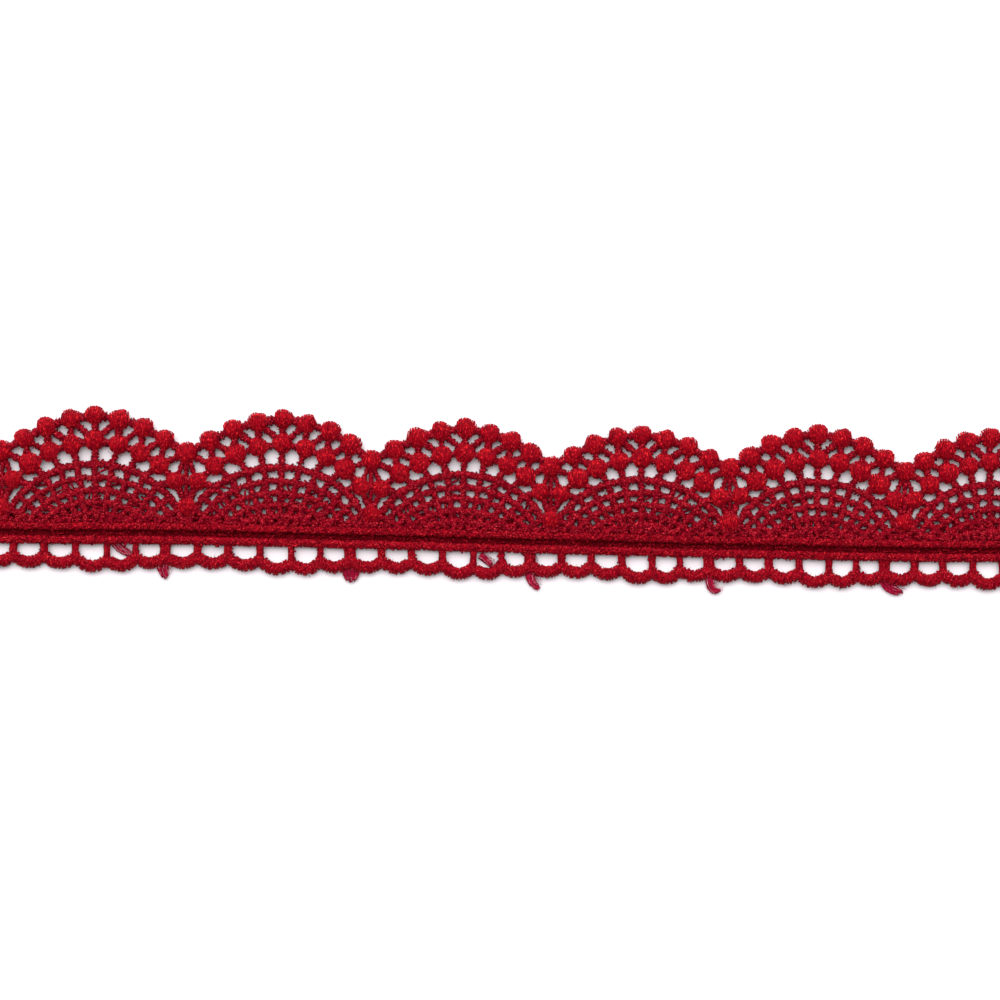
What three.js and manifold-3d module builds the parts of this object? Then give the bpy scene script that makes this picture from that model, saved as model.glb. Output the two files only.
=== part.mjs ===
// A cut length of guipure lace edging, lying flat with its scallops towards +Y.
// The whole trim is one piece of embroidery, so it is one solid: a thin web of thread with
// gaps cut through, two rings of padded balls over each fan, a footing of two raised cords,
// a ladder of windows and a scalloped cord along the lower edge. Short tails of thread are
// left under the lower edge.
// Millimetres. X runs along the trim, Y across it and Z up from the table.
// Within a repeat, x is measured from the fan's axis and y from the groove between the two
// footing cords. A valley is where two fans meet.

import * as THREE from 'three';
import { mergeVertices } from 'three/addons/utils/BufferGeometryUtils.js';
import Module from 'manifold-3d';

// Heights above the table
const FAN_THICKNESS = 1.1;
const BAND_THICKNESS = 1.5;
const CORD_HEIGHT = 1.9;
const TAIL_THICKNESS = 0.9;

// A fan, drawn for a repeat of the nominal pitch and crown height. Its top arc and its two rings
// of balls are part ellipses, with a step in degrees from spoke to spoke or ball to ball, and the
// ball on the fan's axis stands a little proud of each ring.
const PITCH = 33.0;
const CROWN = 21.0;
const THREAD = 0.9;
const TOP_ARC = { centre: -1.9, across: 16.6, up: 14.1, step: 10.8, proud: 0 };
const INNER_RING = { centre: -1.9, across: 18.5, up: 18.0, step: 13.0, proud: 0.3 };
const OUTER_RING = { centre: -5.1, across: 23.3, up: 25.8, step: 10.9, proud: 0.3 };
const RING_BALLS = 4;

// A padded satin ball: the heights of its underside, shoulder and crown, its radius where it
// leaves the web and at the shoulder, and its facets
const BALL = { underside: 0.25, girth: 1.88, shoulder: 1.3, shoulderHeight: 1.95, crown: 2.4, sides: 8 };

// The footing cords and the ladder under them
const BAND_TOP = 2.25;
const UPPER_CORD = { low: 0.5, high: 2.1 };
const LOWER_CORD = { low: -2.0, high: -0.45 };
const CORD_CHAMFER = 0.35;
const CORD_STATIONS = 4;
const CORD_END = 0.5;
const END_BAR = -5.8;
const FLANK = { across: 1.5, rise: 0.4 };
const TAIL = { root: -4.95, shoulder: -6.6 };
const UNEVEN = 0.06;

// One row for each window of a repeat, from its left valley: how far the window's middle is
// shifted, its width, its top and bottom, the lower edge under it and the lower edge under the
// bar to its right. The last bar is the widest.
const LADDER = [
  { shift: -0.75, width: 4.0, top: -2.15, bottom: -4.3, edge: -6.5, bar: -5.8 },
  { shift: -0.8, width: 4.1, top: -2.15, bottom: -4.3, edge: -6.5, bar: -5.7 },
  { shift: -0.7, width: 4.3, top: -2.2, bottom: -4.6, edge: -6.65, bar: -6.0 },
  { shift: -0.55, width: 4.4, top: -2.5, bottom: -4.8, edge: -7.2, bar: -6.6 },
  { shift: -0.65, width: 4.0, top: -2.5, bottom: -4.8, edge: -7.1, bar: -6.0 },
  { shift: -1.2, width: 3.7, top: -2.2, bottom: -4.4, edge: -6.6, bar: -6.0 },
];

// The right half of a window's rounded sill: shares of its half width, and rises from its bottom
const SILL = [
  { share: 0.3, rise: 0 },
  { share: 0.77, rise: 0.33 },
  { share: 1, rise: 1.2 },
];

// How far the cut ends reach past the first and last valleys, how far the fans are pulled to the
// left for each millimetre of height, and the middle of the part's box
const END_REACH = { left: 4.2, right: 2.7 };
const SKEW = 0.019;
const MIDDLE = { x: 98.6, y: 7.36 };

// One row for each repeat: its length, the crown ball's height over the groove, how far the fan
// leans for each millimetre of height, and its thread tail: the root's distance before the right
// valley and width, and the tip's reach and drop.
const REPEATS = [
  { pitch: 33.9, crown: 21.5, lean: 0.01, root: 4.0, width: 1.9, reach: 0.3, drop: 1.5 },
  { pitch: 34.0, crown: 21.4, lean: 0.04, root: 4.1, width: 2.6, reach: 0.3, drop: 1.5 },
  { pitch: 33.1, crown: 20.4, lean: 0.045, root: 4.6, width: 1.5, reach: 2.2, drop: 2.3 },
  { pitch: 32.9, crown: 20.1, lean: 0.015, root: 3.9, width: 1.4, reach: 1.2, drop: 2.2 },
  { pitch: 32.2, crown: 20.9, lean: 0.01, root: 3.9, width: 1.5, reach: 3.1, drop: 1.7 },
  { pitch: 31.7, crown: 20.6, lean: -0.01, root: 4.0, width: 1.6, reach: 1.0, drop: 1.9 },
];

// One row for each valley: how far the groove strays from a straight line there, and the heights
// over the groove of the outer ball and of the lowest ball.
const VALLEYS = [
  { stray: 0.10, ball: 14.8, low: 4.6 },
  { stray: 0.46, ball: 14.6, low: 4.6 },
  { stray: 0.28, ball: 14.1, low: 4.4 },
  { stray: 0.07, ball: 13.8, low: 4.1 },
  { stray: -0.13, ball: 14.2, low: 4.3 },
  { stray: -0.18, ball: 14.4, low: 5.0 },
  { stray: 0.35, ball: 14.4, low: 4.5 },
];

// A small repeatable unevenness, different for every whole number n
function uneven(n) {
  const mixed = Math.sin(12.9898 * n + 4.1) * 43758.5453;
  return UNEVEN * (2 * (mixed - Math.floor(mixed)) - 1);
}

const valleyX = [0];
for (const row of REPEATS) valleyX.push(valleyX.at(-1) + row.pitch);

// The groove's stray at a place along the trim, eased from valley to valley
function strayAt(x) {
  const last = REPEATS.length;
  if (x <= 0) return VALLEYS[0].stray;
  if (x >= valleyX[last]) return VALLEYS[last].stray;
  const i = valleyX.findIndex((v) => x < v) - 1;
  const share = THREE.MathUtils.smoothstep(x, valleyX[i], valleyX[i + 1]);
  return THREE.MathUtils.lerp(VALLEYS[i].stray, VALLEYS[i + 1].stray, share);
}

// A point of the straight trim, set on the slightly wandering one, in the part's frame
function onTrim(x, y) {
  return new THREE.Vector2(x - SKEW * y - MIDDLE.x, y + strayAt(x) - MIDDLE.y);
}

// A point of the nominal repeat, stretched to repeat i and leaning as its fan does
function inRepeat(i, x, y) {
  const { pitch, crown, lean } = REPEATS[i];
  const middle = (valleyX[i] + valleyX[i + 1]) / 2;
  const leaning = x + lean * y * (1 - (2 * x / PITCH) ** 2);
  const stretch = (crown - BAND_TOP) / (CROWN - BAND_TOP);
  const rise = y <= BAND_TOP ? y : BAND_TOP + (y - BAND_TOP) * stretch;
  return onTrim(middle + leaning * pitch / PITCH, rise);
}

// Place n of a part ellipse of repeat i, counted from the fan's axis
function onArc(i, { centre, across, up, step, proud }, n) {
  const turn = THREE.MathUtils.degToRad(n * step);
  return inRepeat(i, across * Math.sin(turn), centre + up * Math.cos(turn) + (n === 0 ? proud : 0));
}

function innerBall(i, k) {
  return onArc(i, INNER_RING, k);
}

// The outer ring's last balls are the valleys' own, shared by two fans
function outerBall(i, j) {
  if (Math.abs(j) < RING_BALLS) return onArc(i, OUTER_RING, j);
  const valley = j < 0 ? i : i + 1;
  return onTrim(valleyX[valley], VALLEYS[valley].ball);
}

function lowBall(valley) {
  return onTrim(valleyX[valley], VALLEYS[valley].low);
}

// Moves each side of a polygon inwards by half a thread
function insideThreads(corners) {
  const ring = THREE.ShapeUtils.area(corners) > 0 ? corners : [...corners].reverse();
  const sides = ring.map((corner, n) => {
    const along = ring[(n + 1) % ring.length].clone().sub(corner).normalize();
    const inwards = new THREE.Vector2(-along.y, along.x);
    return { start: corner.clone().addScaledVector(inwards, THREAD / 2), along };
  });
  return sides.map((side, n) => crossing(sides.at(n - 1), side));
}

function crossing(a, b) {
  const gap = b.start.clone().sub(a.start);
  return a.start.clone().addScaledVector(a.along, gap.cross(b.along) / a.along.cross(b.along));
}

// The gaps under the inner ring, from the fan's axis out to the lowest ball in the valley
function fanGaps(i, side) {
  const gaps = [];
  for (let k = 0; k < RING_BALLS; k += 1) {
    const near = k * side;
    const far = near + side;
    gaps.push([onArc(i, TOP_ARC, near), onArc(i, TOP_ARC, far), innerBall(i, far), innerBall(i, near)]);
  }
  const end = RING_BALLS * side;
  const under = [end, end + side, end + 2 * side].map((spoke) => onArc(i, TOP_ARC, spoke));
  gaps.push([...under, lowBall(side < 0 ? i : i + 1), innerBall(i, end)]);
  return gaps;
}

// The gaps under the links of the outer ring
function ringGaps(i, side) {
  const gaps = [];
  for (let j = 0; j < RING_BALLS; j += 1) {
    gaps.push([outerBall(i, j * side), outerBall(i, (j + 1) * side), innerBall(i, j * side)]);
  }
  return gaps;
}

// Window n, counted from the first valley: its row, its middle and half its width
function windowAt(n) {
  const i = Math.floor(n / LADDER.length);
  const place = n % LADDER.length;
  const row = LADDER[place];
  const { pitch } = REPEATS[Math.min(i, REPEATS.length - 1)];
  return {
    ...row,
    x: valleyX[i] + place * pitch / LADDER.length + row.shift,
    half: row.width / 2 * pitch / PITCH,
  };
}

function windowGap(n) {
  const { x, half, top, bottom } = windowAt(n);
  const right = SILL.map(({ share, rise }) => [share * half, bottom + rise]);
  right.push([half, top]);
  const left = right.map(([dx, y]) => [-dx, y]).reverse();
  const corners = [...right, ...left];
  return corners.map(([dx, y], place) => onTrim(x + dx, y + uneven(n * corners.length + place)));
}

const windowCount = REPEATS.length * LADDER.length + 1;

// The scalloped lower edge, from left to right
function lowerEdge() {
  const points = [];
  for (let n = 0; n < windowCount; n += 1) {
    const { x, edge, bar } = windowAt(n);
    const dip = uneven(n);
    points.push(onTrim(x - FLANK.across, edge + FLANK.rise + dip), onTrim(x, edge + dip));
    points.push(onTrim(x + FLANK.across, edge + FLANK.rise - dip));
    if (n < windowCount - 1) points.push(onTrim((x + windowAt(n + 1).x) / 2, bar));
  }
  return points;
}

const leftEnd = -END_REACH.left;
const rightEnd = valleyX.at(-1) + END_REACH.right;

// The footing and the ladder, with every window cut through
function bandShape() {
  const outline = [
    onTrim(leftEnd, BAND_TOP),
    onTrim(leftEnd, END_BAR),
    ...lowerEdge(),
    onTrim(rightEnd, END_BAR),
    onTrim(rightEnd, BAND_TOP),
  ];
  for (let i = REPEATS.length - 1; i >= 0; i -= 1) {
    outline.push(onTrim(valleyX[i + 1], BAND_TOP), inRepeat(i, 0, BAND_TOP));
  }
  outline.push(onTrim(valleyX[0], BAND_TOP));
  return cutShape(outline, Array.from({ length: windowCount }, (_, n) => windowGap(n)));
}

// The fans and the rings of balls, with the larger gaps cut through
function fanShape() {
  const balls = [outerBall(0, -RING_BALLS)];
  const gaps = [];
  for (let i = 0; i < REPEATS.length; i += 1) {
    for (let j = 1 - RING_BALLS; j <= RING_BALLS; j += 1) balls.push(outerBall(i, j));
    for (const side of [-1, 1]) gaps.push(...fanGaps(i, side), ...ringGaps(i, side));
  }
  const last = REPEATS.length;
  const foot = BAND_TOP - THREAD;
  const outline = [
    ...outsideLinks(balls),
    outerPair(last, 1),
    onTrim(valleyX[last] + THREAD, VALLEYS[last].low),
    onTrim(rightEnd, foot),
    onTrim(leftEnd, foot),
    onTrim(-THREAD, VALLEYS[0].low),
    outerPair(0, -1),
  ];
  return cutShape(outline, gaps.map(insideThreads));
}

// The upper side of the thread that links the outer balls, from left to right
function outsideLinks(balls) {
  const links = balls.slice(1).map((ball, n) => {
    const along = ball.clone().sub(balls[n]).normalize();
    const out = new THREE.Vector2(-along.y, along.x).multiplyScalar(THREAD / 2);
    return { start: balls[n].clone().add(out), along };
  });
  const corners = links.slice(1).map((link, n) => crossing(links[n], link));
  return [balls[0], ...corners, balls.at(-1)];
}

// The inner ball across the valley from the first or last fan, which the cut end keeps
function outerPair(valley, side) {
  const i = side < 0 ? 0 : REPEATS.length - 1;
  const ball = innerBall(i, RING_BALLS * side);
  const axis = lowBall(valley).x;
  return new THREE.Vector2(2 * axis - ball.x, ball.y);
}

function cutShape(outline, gaps) {
  const shape = new THREE.Shape(outline);
  shape.holes = gaps.map((points) => new THREE.Path(points));
  return shape;
}

// A raised cord along the whole footing, chamfered on top and sunk into the band
function cordSolid({ low, high }) {
  const stations = [leftEnd + CORD_END];
  for (let i = 0; i < REPEATS.length; i += 1) {
    const step = REPEATS[i].pitch / CORD_STATIONS;
    for (let n = 0; n < CORD_STATIONS; n += 1) stations.push(valleyX[i] + n * step);
  }
  stations.push(rightEnd - CORD_END);
  const lowSide = stations.map((x) => onTrim(x, low + CORD_CHAMFER));
  const highSide = stations.map((x) => onTrim(x, high - CORD_CHAMFER)).reverse();
  const geometry = new THREE.ExtrudeGeometry(new THREE.Shape([...lowSide, ...highSide]), {
    depth: CORD_HEIGHT - BAND_THICKNESS,
    bevelThickness: CORD_CHAMFER,
    bevelSize: CORD_CHAMFER,
    bevelSegments: 1,
  });
  return solid(geometry.translate(0, 0, BAND_THICKNESS - CORD_CHAMFER));
}

// A padded ball, widest where it leaves the web
function ballSolid(centre, turn) {
  const { underside, girth, shoulder, shoulderHeight, crown, sides } = BALL;
  const profile = [[0, underside], [girth, FAN_THICKNESS], [shoulder, shoulderHeight], [0, crown]];
  const geometry = new THREE.LatheGeometry(profile.map(([r, z]) => new THREE.Vector2(r, z)), sides);
  return solid(geometry.rotateX(Math.PI / 2).rotateZ(turn).translate(centre.x, centre.y, 0));
}

function ballCentres() {
  const centres = [outerPair(0, -1), outerPair(REPEATS.length, 1), outerBall(0, -RING_BALLS), lowBall(0)];
  for (let i = 0; i < REPEATS.length; i += 1) {
    for (let j = 1 - RING_BALLS; j <= RING_BALLS; j += 1) centres.push(outerBall(i, j));
    for (let k = -RING_BALLS; k <= RING_BALLS; k += 1) centres.push(innerBall(i, k));
    centres.push(lowBall(i + 1));
  }
  return centres;
}

// The thread tail under the wide bar before the right valley of repeat i: a tapering strand
function tailSolid(i) {
  const { root, width, reach, drop } = REPEATS[i];
  const x = valleyX[i + 1] - root;
  const tip = TAIL.shoulder - drop;
  const halfTip = width / 4;
  const outline = [
    [x - width / 2, TAIL.root],
    [x + width / 2, TAIL.root],
    [x + width / 2, TAIL.shoulder],
    [x + reach + halfTip, tip + halfTip],
    [x + reach - halfTip, tip],
    [x - width / 2, TAIL.shoulder],
  ];
  return solid(plate(new THREE.Shape(outline.map(([px, py]) => onTrim(px, py))), TAIL_THICKNESS));
}

function plate(shape, depth) {
  return new THREE.ExtrudeGeometry(shape, { depth, bevelEnabled: false });
}

// A closed solid from a geometry, with its shared vertices merged
function solid(geometry) {
  geometry.deleteAttribute('normal');
  geometry.deleteAttribute('uv');
  const merged = mergeVertices(geometry, 1e-4);
  const triVerts = new Uint32Array(merged.index.array);
  const vertProperties = new Float32Array(merged.attributes.position.array);
  return new wasm.Manifold(new wasm.Mesh({ numProp: 3, vertProperties, triVerts }));
}

function geometryOf(body) {
  const { vertProperties, triVerts } = body.getMesh();
  const geometry = new THREE.BufferGeometry();
  geometry.setAttribute('position', new THREE.BufferAttribute(vertProperties, 3));
  geometry.setIndex(new THREE.BufferAttribute(triVerts, 1));
  geometry.computeVertexNormals();
  return geometry;
}

function laceSolid() {
  let lace = solid(plate(bandShape(), BAND_THICKNESS)).add(solid(plate(fanShape(), FAN_THICKNESS)));
  lace = lace.add(cordSolid(UPPER_CORD)).add(cordSolid(LOWER_CORD));
  ballCentres().forEach((centre, n) => {
    lace = lace.add(ballSolid(centre, n));
  });
  for (let i = 0; i < REPEATS.length; i += 1) lace = lace.add(tailSolid(i));
  return lace;
}

const wasm = await Module();
wasm.setup();

const redRayon = new THREE.MeshStandardMaterial({ color: 0xa8101f, roughness: 0.6, metalness: 0 });
const laceTrim = new THREE.Mesh(geometryOf(laceSolid()), redRayon);
laceTrim.name = 'lace_trim';

const group = new THREE.Group();
group.add(laceTrim);

export default group;
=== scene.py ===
# %% [markdown]
# # A cut length of red guipure lace edging
#
# Guipure is embroidered on a cloth that is then washed away, so nothing is left but thread: twisted
# brides, padded satin balls and corded edges. This notebook dresses the plain solid of the trim
# with that thread. Sizes are in millimetres, and are turned into metres where a mesh is made.

import math
import random

import bpy
from mathutils import Matrix, Vector, noise


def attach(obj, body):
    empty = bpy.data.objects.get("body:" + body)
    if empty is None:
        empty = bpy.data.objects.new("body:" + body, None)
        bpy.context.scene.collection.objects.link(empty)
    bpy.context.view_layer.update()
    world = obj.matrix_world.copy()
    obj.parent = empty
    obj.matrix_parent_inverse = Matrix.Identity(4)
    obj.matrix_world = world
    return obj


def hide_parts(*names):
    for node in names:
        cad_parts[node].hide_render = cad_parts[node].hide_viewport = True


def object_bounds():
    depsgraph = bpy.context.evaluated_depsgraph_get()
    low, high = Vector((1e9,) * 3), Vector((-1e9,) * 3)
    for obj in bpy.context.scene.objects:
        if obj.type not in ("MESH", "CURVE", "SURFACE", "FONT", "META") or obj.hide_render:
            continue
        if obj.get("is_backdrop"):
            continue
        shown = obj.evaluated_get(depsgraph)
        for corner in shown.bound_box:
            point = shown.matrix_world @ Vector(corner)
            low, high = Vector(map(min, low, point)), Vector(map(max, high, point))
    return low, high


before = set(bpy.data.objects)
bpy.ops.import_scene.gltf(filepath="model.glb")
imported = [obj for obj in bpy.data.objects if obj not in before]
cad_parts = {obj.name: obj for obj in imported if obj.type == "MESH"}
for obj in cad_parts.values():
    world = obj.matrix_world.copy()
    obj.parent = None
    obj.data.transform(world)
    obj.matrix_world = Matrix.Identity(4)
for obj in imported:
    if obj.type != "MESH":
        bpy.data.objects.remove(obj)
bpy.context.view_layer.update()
MM = 0.001

# %% [markdown]
# ## The camera
#
# The photograph looks straight down at the trim, from far enough away that nothing leans. A long
# lens high over the table gives that view. The trim runs slightly downhill to the right, so the
# camera is rolled by that slope and not the trim, which stays square in its own frame.

# %% Set up the camera
LENS = 100.0
SENSOR = 36.0
VIEW_WIDTH = 184.0
VIEW_MIDDLE = Vector((-7.1, 0.2, 1.2))
SLOPE = 0.019

camera_data = bpy.data.cameras.new("camera")
camera_data.lens = LENS
camera_data.sensor_width = SENSOR
camera = bpy.data.objects.new("camera", camera_data)
bpy.context.scene.collection.objects.link(camera)
rise = VIEW_WIDTH * LENS / SENSOR
camera.location = (VIEW_MIDDLE + Vector((0, 0, rise))) * MM
camera.rotation_euler = (0, 0, math.atan(SLOPE))
bpy.context.scene.camera = camera
print("The camera is", round(rise), "mm over the trim")

# %% [markdown]
# ## The layout of the trim
#
# The pattern repeats every 32 to 34 mm, but no two repeats are quite alike, because the lace
# stretches as it is washed and handled. So every thread is drawn in one nominal repeat, and
# each real repeat has its own length, height and lean. These are the sizes that the solid has too.

# %% Name the layout's sizes
PITCH = 33.0
CROWN = 21.0
BAND_TOP = 2.25
SKEW = 0.019
MIDDLE = Vector((98.6, 7.36))
END_REACH = {"left": 4.2, "right": 2.7}

REPEATS = [
    {"pitch": 33.9, "crown": 21.5, "lean": 0.01},
    {"pitch": 34.0, "crown": 21.4, "lean": 0.04},
    {"pitch": 33.1, "crown": 20.4, "lean": 0.045},
    {"pitch": 32.9, "crown": 20.1, "lean": 0.015},
    {"pitch": 32.2, "crown": 20.9, "lean": 0.01},
    {"pitch": 31.7, "crown": 20.6, "lean": -0.01},
]

VALLEYS = [
    {"stray": 0.10, "ball": 14.8, "low": 4.6},
    {"stray": 0.46, "ball": 14.6, "low": 4.6},
    {"stray": 0.28, "ball": 14.1, "low": 4.4},
    {"stray": 0.07, "ball": 13.8, "low": 4.1},
    {"stray": -0.13, "ball": 14.2, "low": 4.3},
    {"stray": -0.18, "ball": 14.4, "low": 5.0},
    {"stray": 0.35, "ball": 14.4, "low": 4.5},
]

valley_x = [0.0]
for row in REPEATS:
    valley_x.append(valley_x[-1] + row["pitch"])
left_end = -END_REACH["left"]
right_end = valley_x[-1] + END_REACH["right"]
print("Valleys at", [round(x, 1) for x in valley_x], "mm")


# %% Turn layout places into places on the trim
def stray_at(x):
    """How far the footing wanders from a straight line, eased from valley to valley."""
    if x <= 0:
        return VALLEYS[0]["stray"]
    if x >= valley_x[-1]:
        return VALLEYS[-1]["stray"]
    i = max(n for n, v in enumerate(valley_x) if v <= x)
    share = (x - valley_x[i]) / (valley_x[i + 1] - valley_x[i])
    share = share * share * (3 - 2 * share)
    return VALLEYS[i]["stray"] * (1 - share) + VALLEYS[i + 1]["stray"] * share


def on_trim(x, y):
    return Vector((x - SKEW * y - MIDDLE.x, y + stray_at(x) - MIDDLE.y))


def in_repeat(i, x, y):
    """A place of the nominal repeat, measured from the fan's axis and the footing's groove."""
    row = REPEATS[i]
    middle = (valley_x[i] + valley_x[i + 1]) / 2
    leaning = x + row["lean"] * y * (1 - (2 * x / PITCH) ** 2)
    if y > BAND_TOP:
        y = BAND_TOP + (y - BAND_TOP) * (row["crown"] - BAND_TOP) / (CROWN - BAND_TOP)
    return on_trim(middle + leaning * row["pitch"] / PITCH, y)


ARC_CENTRE = -1.9
SPOKE_STEP = 10.8
ARCS = [
    {"centre": ARC_CENTRE, "across": 16.6, "up": 14.1, "step": SPOKE_STEP, "proud": 0.0},
    {"centre": ARC_CENTRE, "across": 14.7, "up": 11.65, "step": SPOKE_STEP, "proud": 0.0},
    {"centre": ARC_CENTRE, "across": 12.9, "up": 9.45, "step": SPOKE_STEP, "proud": 0.0},
    {"centre": ARC_CENTRE, "across": 10.95, "up": 7.3, "step": SPOKE_STEP, "proud": 0.0},
    {"centre": ARC_CENTRE, "across": 8.9, "up": 5.3, "step": SPOKE_STEP, "proud": 0.0},
]
INNER_RING = {"centre": -1.9, "across": 18.5, "up": 18.0, "step": 13.0, "proud": 0.3}
OUTER_RING = {"centre": -5.1, "across": 23.3, "up": 25.8, "step": 10.9, "proud": 0.3}
RING_BALLS = 4


def arc_xy(arc, n):
    """Place n of a part ellipse in the nominal repeat, counted from the fan's axis."""
    turn = math.radians(n * arc["step"])
    proud = arc["proud"] if n == 0 else 0.0
    return arc["across"] * math.sin(turn), arc["centre"] + arc["up"] * math.cos(turn) + proud


def on_arc(i, arc, n):
    return in_repeat(i, *arc_xy(arc, n))


def inner_ball(i, k):
    return on_arc(i, INNER_RING, k)


def outer_ball(i, j):
    """The outer ring's last balls are the valleys' own, shared by two fans."""
    if abs(j) < RING_BALLS:
        return on_arc(i, OUTER_RING, j)
    valley = i if j < 0 else i + 1
    return on_trim(valley_x[valley], VALLEYS[valley]["ball"])


def low_ball(valley):
    return on_trim(valley_x[valley], VALLEYS[valley]["low"])


def across_valley(valley, side):
    """The inner ball of the next repeat, which a cut end keeps."""
    ball = inner_ball(0 if side < 0 else len(REPEATS) - 1, RING_BALLS * side)
    return Vector((2 * low_ball(valley).x - ball.x, ball.y))


# %% [markdown]
# ## How thread is modelled
#
# A thread could be a plain tube, but then it would look like wire. Here each thread is a spline of
# one curve object, swept with a small drawn section. A section of two lobes that turns as it goes
# makes the ridges of two twisted plies, and a flat oval that doesn't turn makes a satin stitch.
# Every spline wanders and swells a little, from smooth noise, so no two threads are the same.

# %% Draw the sections that threads are swept with
def thread_section(name, points):
    curve = bpy.data.curves.new(name, "CURVE")
    curve.dimensions = "2D"
    spline = curve.splines.new("POLY")
    spline.points.add(len(points) - 1)
    for point, (x, y) in zip(spline.points, points):
        point.co = (x * MM, y * MM, 0, 1)
    spline.use_cyclic_u = True
    section = bpy.data.objects.new(name, curve)
    bpy.context.scene.collection.objects.link(section)
    return section


def oval(sides, width, height, lobe=0.0):
    points = []
    for n in range(sides):
        turn = -math.tau * n / sides
        reach = 1 + lobe * math.cos(2 * turn)
        points.append((width * reach * math.cos(turn), height * reach * math.sin(turn)))
    return points


SECTIONS = {
    "two_ply": thread_section("two_ply", oval(8, 1.0, 1.0, lobe=0.2)),
    "satin": thread_section("satin", oval(6, 1.0, 0.75)),
    "binding": thread_section("binding", oval(4, 1.0, 0.9)),
    "fibre": thread_section("fibre", oval(3, 1.0, 1.0)),
    "cord": thread_section("cord", oval(10, 1.0, 0.85)),
}
print("Sections:", ", ".join(SECTIONS))


# %% Sweep a list of threads into one mesh
# Noise vectors start from the clock unless they are seeded.
noise.seed_set(7)
SEED_STRIDE = 7.31
WELD = 0.002


def wander(place, amount, scale, seed):
    """A smooth drift, the same for the same place and seed, and half as far up and down."""
    at = Vector((place.x * scale, place.y * scale, seed * SEED_STRIDE))
    drift = noise.noise_vector(at)
    return Vector((drift.x, drift.y, drift.z * 0.5)) * amount


def respaced(points, spacing):
    """The same open line with its points set evenly, about the spacing apart."""
    lengths = [(b - a).length for a, b in zip(points, points[1:])]
    total = sum(lengths)
    count = max(2, round(total / spacing))
    placed, walked, n = [points[0]], 0.0, 0
    for k in range(1, count):
        goal = total * k / count
        while walked + lengths[n] < goal:
            walked += lengths[n]
            n += 1
        placed.append(points[n].lerp(points[n + 1], (goal - walked) / lengths[n]))
    placed.append(points[-1])
    return placed


def sweep(name, section, threads):
    """One mesh from threads, each a list of points in mm with the thread's radius and twist."""
    curve = bpy.data.curves.new(name, "CURVE")
    curve.dimensions = "3D"
    curve.twist_mode = "Z_UP"
    curve.bevel_mode = "OBJECT"
    curve.bevel_object = SECTIONS[section]
    curve.use_fill_caps = True
    for thread in threads:
        spline = curve.splines.new("POLY")
        spline.points.add(len(thread["points"]) - 1)
        for n, (point, place) in enumerate(zip(spline.points, thread["points"])):
            point.co = (*(place * MM), 1)
            point.radius = thread["radii"][n]
            point.tilt = thread["tilts"][n]
    piece = bpy.data.objects.new(name, curve)
    bpy.context.scene.collection.objects.link(piece)
    only(piece)
    bpy.ops.object.convert(target="MESH")
    bpy.ops.object.mode_set(mode="EDIT")
    bpy.ops.mesh.select_all(action="SELECT")
    bpy.ops.mesh.remove_doubles(threshold=WELD * MM)
    bpy.ops.mesh.normals_make_consistent(inside=False)
    bpy.ops.object.mode_set(mode="OBJECT")
    return piece


def only(piece):
    """Makes the piece the one object that operators act on."""
    bpy.ops.object.select_all(action="DESELECT")
    piece.select_set(True)
    bpy.context.view_layer.objects.active = piece


# %% [markdown]
# ## The brides
#
# Brides are the connecting threads of guipure. In this trim they make the fans: five arcs crossed
# by spokes that spread from the footing, short stems up to the inner ring of balls, and a zigzag
# between the two rings. Each is a few runs of thread twisted together, a little over 1 mm thick.
# All of them lie at one height, and a slow sway and a quick tremble keep them from looking drawn.

# %% Lay a twisted thread through a few places
TWIST_LENGTH = 2.6
PLY_SPACING = 0.48
WEB_HEIGHT = 1.2
SWELL = 0.4
SWELL_SCALE = 0.9
SWAY_SCALE = 0.8
TREMBLE_SCALE = 2.6


def bride(places, radius, seed, slack=0.1):
    """A twisted thread through 2-D places, at the web's height over the table."""
    places = [Vector((p.x, p.y, WEB_HEIGHT)) for p in places]
    places = respaced(places, PLY_SPACING)
    start = noise.noise(places[0] * SWELL_SCALE + Vector((seed, 0, 0))) * math.pi
    radii, tilts, points = [], [], []
    walked = 0.0
    for n, place in enumerate(places):
        if n:
            walked += (place - places[n - 1]).length
        swell = 1 + SWELL * noise.noise(place * SWELL_SCALE + Vector((0, 0, seed)))
        radii.append(radius * swell)
        tilts.append(start + math.tau * walked / TWIST_LENGTH)
        swayed = place + wander(place, slack, SWAY_SCALE, seed)
        points.append(swayed + wander(place, slack * 0.5, TREMBLE_SCALE, seed))
    return {"points": points, "radii": radii, "tilts": tilts}


# %% Draw the arcs and spokes of one fan
TOP_ARC_RADIUS = 0.66
ARC_RADIUS = 0.58
SPOKE_RADIUS = 0.58
WEB_SLACK = 0.26
ARC_POINTS = 40
LAST_SPOKE = 6
SPOKE_ROOT = {"across": 0.78, "up": 0.66}
FOOT = BAND_TOP - 0.6


def arc_thread(i, arc, seed):
    """One arc of fan i, from the footing up and over and down to the footing again."""
    reach = math.acos((FOOT - arc["centre"]) / arc["up"])
    turns = [reach * (2 * n / ARC_POINTS - 1) for n in range(ARC_POINTS + 1)]
    places = []
    for turn in turns:
        x, y = arc["across"] * math.sin(turn), arc["centre"] + arc["up"] * math.cos(turn)
        places.append(in_repeat(i, x, y))
    radius = TOP_ARC_RADIUS if arc is ARCS[0] else ARC_RADIUS
    return bride(places, radius, seed, WEB_SLACK)


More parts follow.
